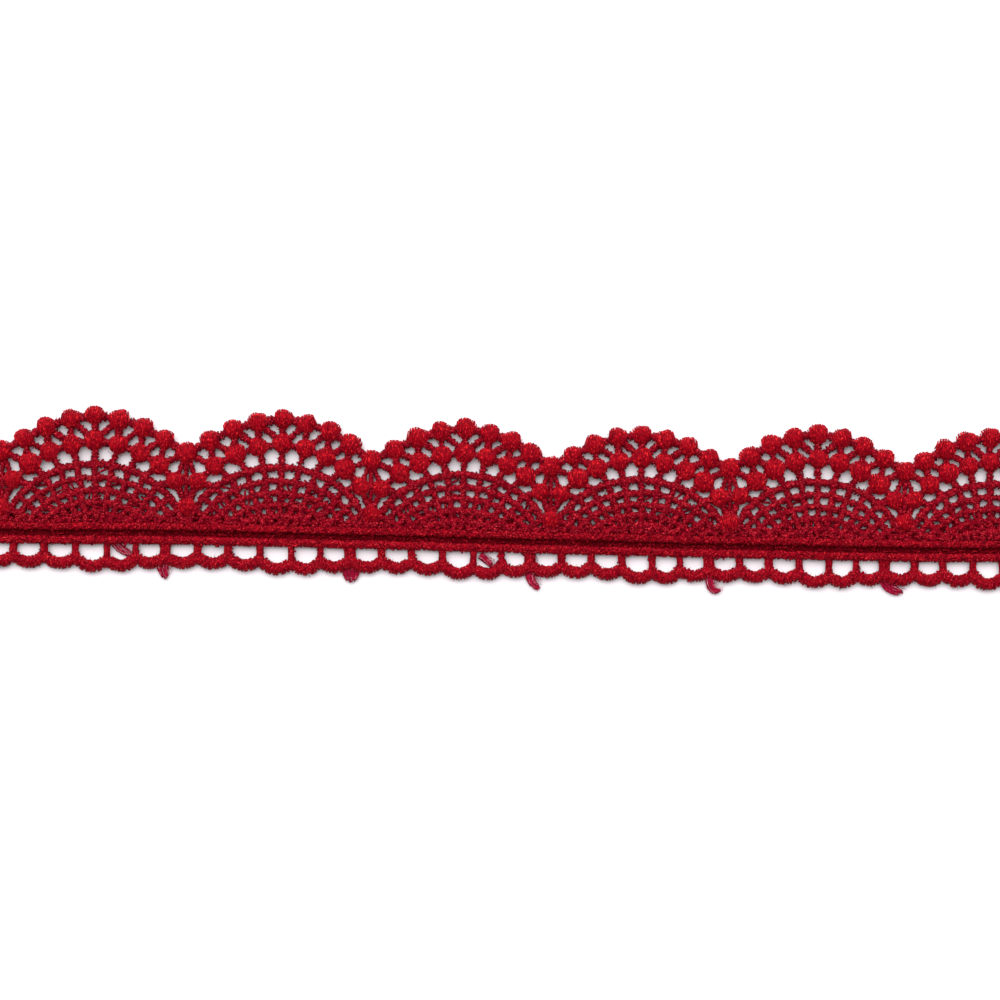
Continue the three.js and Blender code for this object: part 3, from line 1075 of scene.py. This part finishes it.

# %% [markdown]
# ## The thread
#
# Embroidery rayon is a bundle of glossy filaments. It is deep crimson where it turns away or lies
# in shade and bright scarlet where a satin stitch faces the light. The gloss is broad, because the
# filaments scatter it along the thread. Colour and roughness vary from stitch to stitch. Its glints
# are painted: pale specks mixed into the colour stand in for highlights on the filaments.


# %% Build the shared filament group
def noise_node(nodes, links, vector, scale, detail):
    node = nodes.new("ShaderNodeTexNoise")
    node.inputs["Detail"].default_value = detail
    node.inputs["Roughness"].default_value = 0.6
    links.new(vector, node.inputs["Vector"])
    if isinstance(scale, float):
        node.inputs["Scale"].default_value = scale
    else:
        links.new(scale, node.inputs["Scale"])
    return node.outputs["Fac"]


def ranged(nodes, links, value, low, high, start=0.0, end=1.0):
    node = nodes.new("ShaderNodeMapRange")
    node.inputs["From Min"].default_value = low
    node.inputs["From Max"].default_value = high
    node.inputs["To Min"].default_value = start
    node.inputs["To Max"].default_value = end
    links.new(value, node.inputs["Value"])
    return node.outputs["Result"]


def mixed(nodes, links, factor, a, b):
    node = nodes.new("ShaderNodeMix")
    node.data_type = "RGBA"
    links.new(factor, node.inputs["Factor"])
    links.new(a, node.inputs["A"])
    links.new(b, node.inputs["B"])
    return node.outputs["Result"]


def filament_group():
    """Colour from dark to bright with glints, which are painted highlights, and a filament pattern,
    from a piece's own places.
    """
    tree = bpy.data.node_groups.new("rayon_filaments", "ShaderNodeTree")
    face = tree.interface
    for name in ("Dark", "Bright", "Painted glint"):
        face.new_socket(name, in_out="INPUT", socket_type="NodeSocketColor")
    face.new_socket("Stretch", in_out="INPUT", socket_type="NodeSocketVector")
    face.new_socket("Patch scale", in_out="INPUT", socket_type="NodeSocketFloat")
    face.new_socket("Speck scale", in_out="INPUT", socket_type="NodeSocketFloat")
    face.new_socket("Color", in_out="OUTPUT", socket_type="NodeSocketColor")
    face.new_socket("Roughness", in_out="OUTPUT", socket_type="NodeSocketFloat")
    face.new_socket("Height", in_out="OUTPUT", socket_type="NodeSocketFloat")
    nodes, links = tree.nodes, tree.links
    start = nodes.new("NodeGroupInput").outputs
    end = nodes.new("NodeGroupOutput").inputs
    place = nodes.new("ShaderNodeTexCoord").outputs

    patches = noise_node(nodes, links, place["Object"], start["Patch scale"], 2.0)
    drawn_out = nodes.new("ShaderNodeVectorMath")
    drawn_out.operation = "MULTIPLY"
    links.new(place["Object"], drawn_out.inputs[0])
    links.new(start["Stretch"], drawn_out.inputs[1])
    specks = noise_node(nodes, links, drawn_out.outputs["Vector"], start["Speck scale"], 1.0)
    both = nodes.new("ShaderNodeMath")
    both.operation = "ADD"
    links.new(patches, both.inputs[0])
    links.new(specks, both.inputs[1])
    share = ranged(nodes, links, both.outputs[0], 0.72, 1.28)
    thread_colour = mixed(nodes, links, share, start["Dark"], start["Bright"])
    # Painted highlight: where the specks run highest, the colour turns to the glint colour.
    glints = ranged(nodes, links, specks, 0.60, 0.72)
    links.new(mixed(nodes, links, glints, thread_colour, start["Painted glint"]), end["Color"])
    links.new(ranged(nodes, links, specks, 0.3, 0.7, 0.62, 0.40), end["Roughness"])

    along = nodes.new("ShaderNodeMapping")
    along.inputs["Scale"].default_value = (3.0, 22.0, 1.0)
    links.new(place["UV"], along.inputs["Vector"])
    links.new(noise_node(nodes, links, along.outputs["Vector"], 2.0, 2.0), end["Height"])
    return tree


filaments_group = filament_group()


# %% Make the thread materials
PATCH_SCALE = 1300.0
SPECK_SCALE = 4200.0
BUMP_DEPTH = 0.05
GLOSS_TINT = (1.0, 0.12, 0.12, 1)


def thread_material(name, dark, bright, painted_glint, stretch=(1, 1, 1), gloss=0.12):
    material = bpy.data.materials.new(name)
    material.use_nodes = True
    nodes, links = material.node_tree.nodes, material.node_tree.links
    shader = nodes["Principled BSDF"]
    group = nodes.new("ShaderNodeGroup")
    group.node_tree = filaments_group
    group.inputs["Dark"].default_value = (*dark, 1)
    group.inputs["Bright"].default_value = (*bright, 1)
    group.inputs["Painted glint"].default_value = (*painted_glint, 1)
    group.inputs["Stretch"].default_value = stretch
    group.inputs["Patch scale"].default_value = PATCH_SCALE
    group.inputs["Speck scale"].default_value = SPECK_SCALE
    bump = nodes.new("ShaderNodeBump")
    bump.inputs["Strength"].default_value = 0.35
    bump.inputs["Distance"].default_value = BUMP_DEPTH * MM
    links.new(group.outputs["Color"], shader.inputs["Base Color"])
    links.new(group.outputs["Roughness"], shader.inputs["Roughness"])
    links.new(group.outputs["Height"], bump.inputs["Height"])
    links.new(bump.outputs["Normal"], shader.inputs["Normal"])
    shader.inputs["Specular IOR Level"].default_value = gloss
    shader.inputs["Specular Tint"].default_value = GLOSS_TINT
    return material


# Each material's third colour is its glint: a painted highlight, mixed into the colour at the
# brightest specks.
satin_rayon = thread_material(
    "satin_rayon",
    (0.09, 0.0, 0.004),
    (0.3, 0.001, 0.007),
    (0.66, 0.02, 0.022),
    stretch=(1, 0.5, 0.7),
    gloss=0.2,
)
twisted_rayon = thread_material(
    "twisted_rayon", (0.055, 0.0, 0.003), (0.23, 0.001, 0.009), (0.6, 0.04, 0.05)
)
bound_rayon = thread_material(
    "bound_rayon", (0.06, 0.0, 0.003), (0.25, 0.001, 0.008), (0.6, 0.03, 0.035)
)
# A darker copy of the thread for the strands in the groove: painted shade, for the shadow between
# the two cords.
painted_shade_rayon = thread_material(
    "painted_shade_rayon", (0.04, 0.0, 0.002), (0.12, 0.0, 0.004), (0.25, 0.005, 0.01)
)
frayed_rayon = thread_material(
    "frayed_rayon", (0.12, 0.001, 0.012), (0.3, 0.005, 0.03), (0.45, 0.04, 0.07)
)
worn_rayon = thread_material(
    "worn_rayon", (0.35, 0.08, 0.11), (0.6, 0.32, 0.36), (0.7, 0.55, 0.57)
)
print("Materials:", ", ".join(m.name for m in bpy.data.materials if "rayon" in m.name))

# %% Finish every piece and tell the frame what it is
FINISH = {
    lace_web: twisted_rayon,
    fan_bindings: twisted_rayon,
    ring_bindings: twisted_rayon,
    web_knots: twisted_rayon,
    outer_balls: satin_rayon,
    inner_balls: satin_rayon,
    footing_stitches: bound_rayon,
    footing_strays: bound_rayon,
    footing_bundles: bound_rayon,
    # painted shade: the groove's strands take the darker copy of the thread
    groove_strands: painted_shade_rayon,
    edge_stitches: bound_rayon,
    edge_bundle: bound_rayon,
    ladder_bars: bound_rayon,
    bar_wraps: bound_rayon,
    thread_tails: frayed_rayon,
    pale_fibres: worn_rayon,
    stray_fibres: twisted_rayon,
}
for piece, material in FINISH.items():
    piece.data.materials.clear()
    piece.data.materials.append(material)
    only(piece)
    bpy.ops.object.shade_smooth()
    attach(piece, "root")
    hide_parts("lace_trim")
for section in SECTIONS.values():
    bpy.data.objects.remove(section)

# %% [markdown]
# ## The table and the light
#
# The photograph was taken on white, so bright that the table has no tone of its own, and only the
# gaps in the lace show it in the shade. A wide pale table under an even white sky gives the soft
# grey in the gaps. A broad sun from above the scallops gives the balls their lit tops, and is
# strong enough to turn the open table white.

# %% Lay the table
TABLE_RADIUS = 3.0
TABLE_COLOUR = (0.76, 0.71, 0.74, 1)

bpy.ops.object.select_all(action="DESELECT")
bpy.ops.mesh.primitive_circle_add(
    vertices=64, radius=TABLE_RADIUS, fill_type="NGON", location=(0, 0, 0)
)
table = bpy.context.object
table.name = "table"
table_finish = bpy.data.materials.new("pale_table")
table_finish.use_nodes = True
table_shader = table_finish.node_tree.nodes["Principled BSDF"]
table_shader.inputs["Base Color"].default_value = TABLE_COLOUR
table_shader.inputs["Roughness"].default_value = 0.9
table.data.materials.append(table_finish)
table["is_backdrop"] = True

# %% Light it
SKY_STRENGTH = 0.6
SUN_STRENGTH = 5.6
SUN_ANGLE = 84
SUN_DIRECTION = Vector((0.2, -0.9, -1.0))

world = bpy.data.worlds.new("studio")
world.use_nodes = True
world.node_tree.nodes["Background"].inputs["Color"].default_value = (1, 1, 1, 1)
world.node_tree.nodes["Background"].inputs["Strength"].default_value = SKY_STRENGTH
bpy.context.scene.world = world

sun_data = bpy.data.lights.new("window_light", "SUN")
sun_data.energy = SUN_STRENGTH
sun_data.angle = math.radians(SUN_ANGLE)
sun = bpy.data.objects.new("window_light", sun_data)
bpy.context.scene.collection.objects.link(sun)
sun.rotation_euler = SUN_DIRECTION.to_track_quat("-Z", "Y").to_euler()

bpy.context.scene.view_settings.view_transform = "Standard"

# %% Measure the dressed trim's box and count its triangles
visual_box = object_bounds()
box_in_mm = [[round(v / MM, 2) for v in corner] for corner in visual_box]
print("The dressed trim's box in mm:", box_in_mm)
triangles = {}
for piece in FINISH:
    piece.data.calc_loop_triangles()
    triangles[piece.name] = len(piece.data.loop_triangles)
print("Triangles:", triangles, "in all", sum(triangles.values()))
